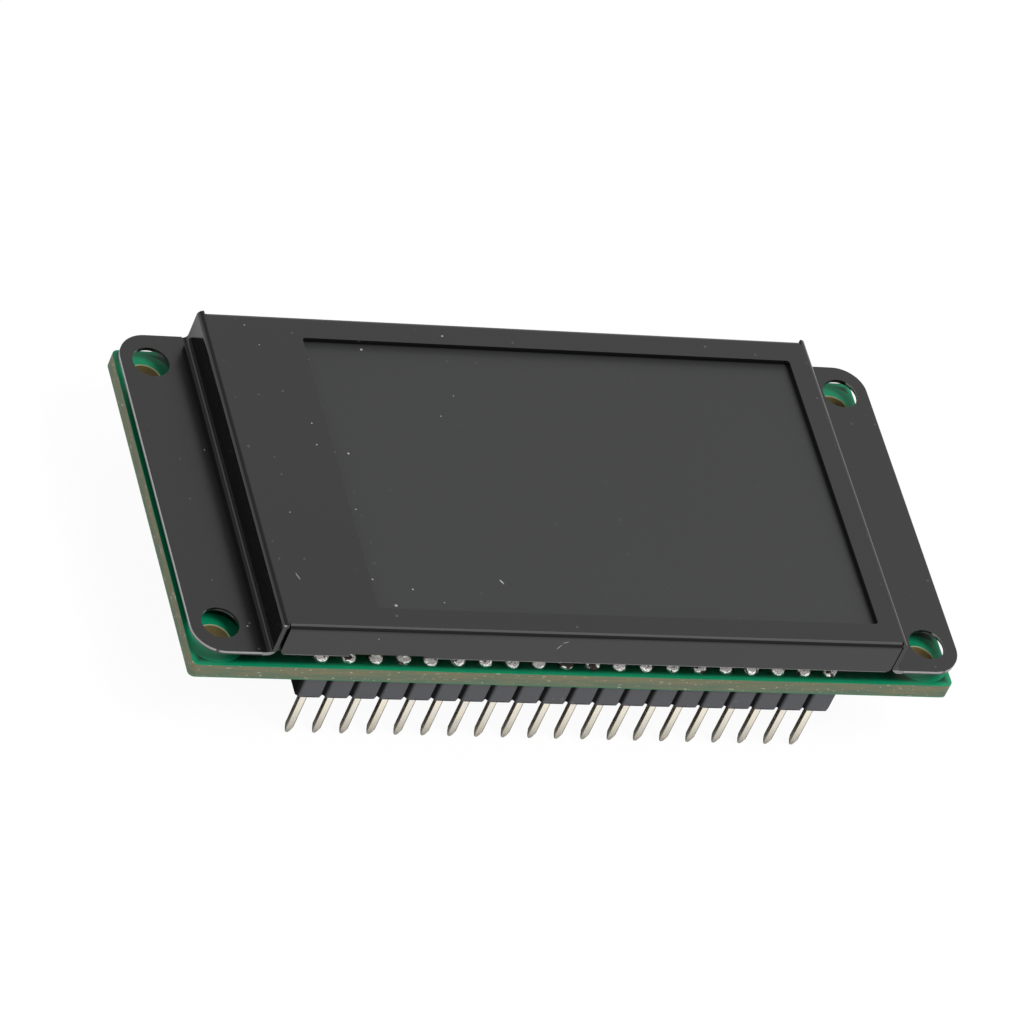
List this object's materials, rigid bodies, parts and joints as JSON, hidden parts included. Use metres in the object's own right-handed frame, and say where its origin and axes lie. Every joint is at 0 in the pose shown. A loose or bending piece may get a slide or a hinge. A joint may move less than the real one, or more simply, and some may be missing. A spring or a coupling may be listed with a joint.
{
  "type": "tft display module",
  "caption": "Small colour display panel under a folded black sheet-metal bezel with screw ears, on a green circuit board with a single-row pin header.",
  "frame": {"origin": "middle of the mounting-hole pattern, on the underside of the circuit board", "axes": "+X along the pin header, to the right seen from the header's side; +Y from the header to the far side; +Z out of the display's face"},
  "size_m": [0.0726, 0.0366, 0.0157],
  "materials": {
    "black_paint": "semi-gloss black paint",
    "foam": "matt black foam",
    "panel_face": "semi-gloss film",
    "glass": "clear",
    "polariser_film": "satin film",
    "silicon": "polished",
    "flex_film": "satin polyimide",
    "clear_film": "satin",
    "white_film": "matt white",
    "clear_acrylic": "polished",
    "white_plastic": "moulded",
    "led_yellow": "phosphor under clear resin",
    "green_board": "green solder mask",
    "header_plastic": "satin dark grey moulding",
    "solder": "bright solder",
    "pin_metal": "pale plated metal",
    "ceramic": "matt ceramic",
    "resistor_black": "matt black"
  },
  "bodies": {
    "root": {"bezel": "black_paint", "window_gasket": "foam", "front_polariser": "panel_face", "colour_filter_glass": "glass", "tft_glass": "glass", "rear_polariser": "polariser_film", "driver_chip": "silicon", "display_flex": "flex_film", "prism_film": "clear_film", "diffuser_film": "white_film", "light_guide": "clear_acrylic", "reflector_film": "white_film", "backlight_frame": "white_plastic", "led_strip": "flex_film", "leds": "led_yellow", "foam_tape_left": "foam", "foam_tape_right": "foam", "circuit_board": "green_board", "header_body": "header_plastic", "solder_joints": "solder", "capacitor_1": "ceramic", "capacitor_2": "ceramic", "backlight_resistor": "resistor_black", "pin_01": "pin_metal", "pin_02": "pin_metal", "pin_03": "pin_metal", "pin_04": "pin_metal", "pin_05": "pin_metal", "pin_06": "pin_metal", "pin_07": "pin_metal", "pin_08": "pin_metal", "pin_09": "pin_metal", "pin_10": "pin_metal", "pin_11": "pin_metal", "pin_12": "pin_metal", "pin_13": "pin_metal", "pin_14": "pin_metal", "pin_15": "pin_metal", "pin_16": "pin_metal", "pin_17": "pin_metal", "pin_18": "pin_metal", "pin_19": "pin_metal", "pin_20": "pin_metal"}
  },
  "joints": []
}
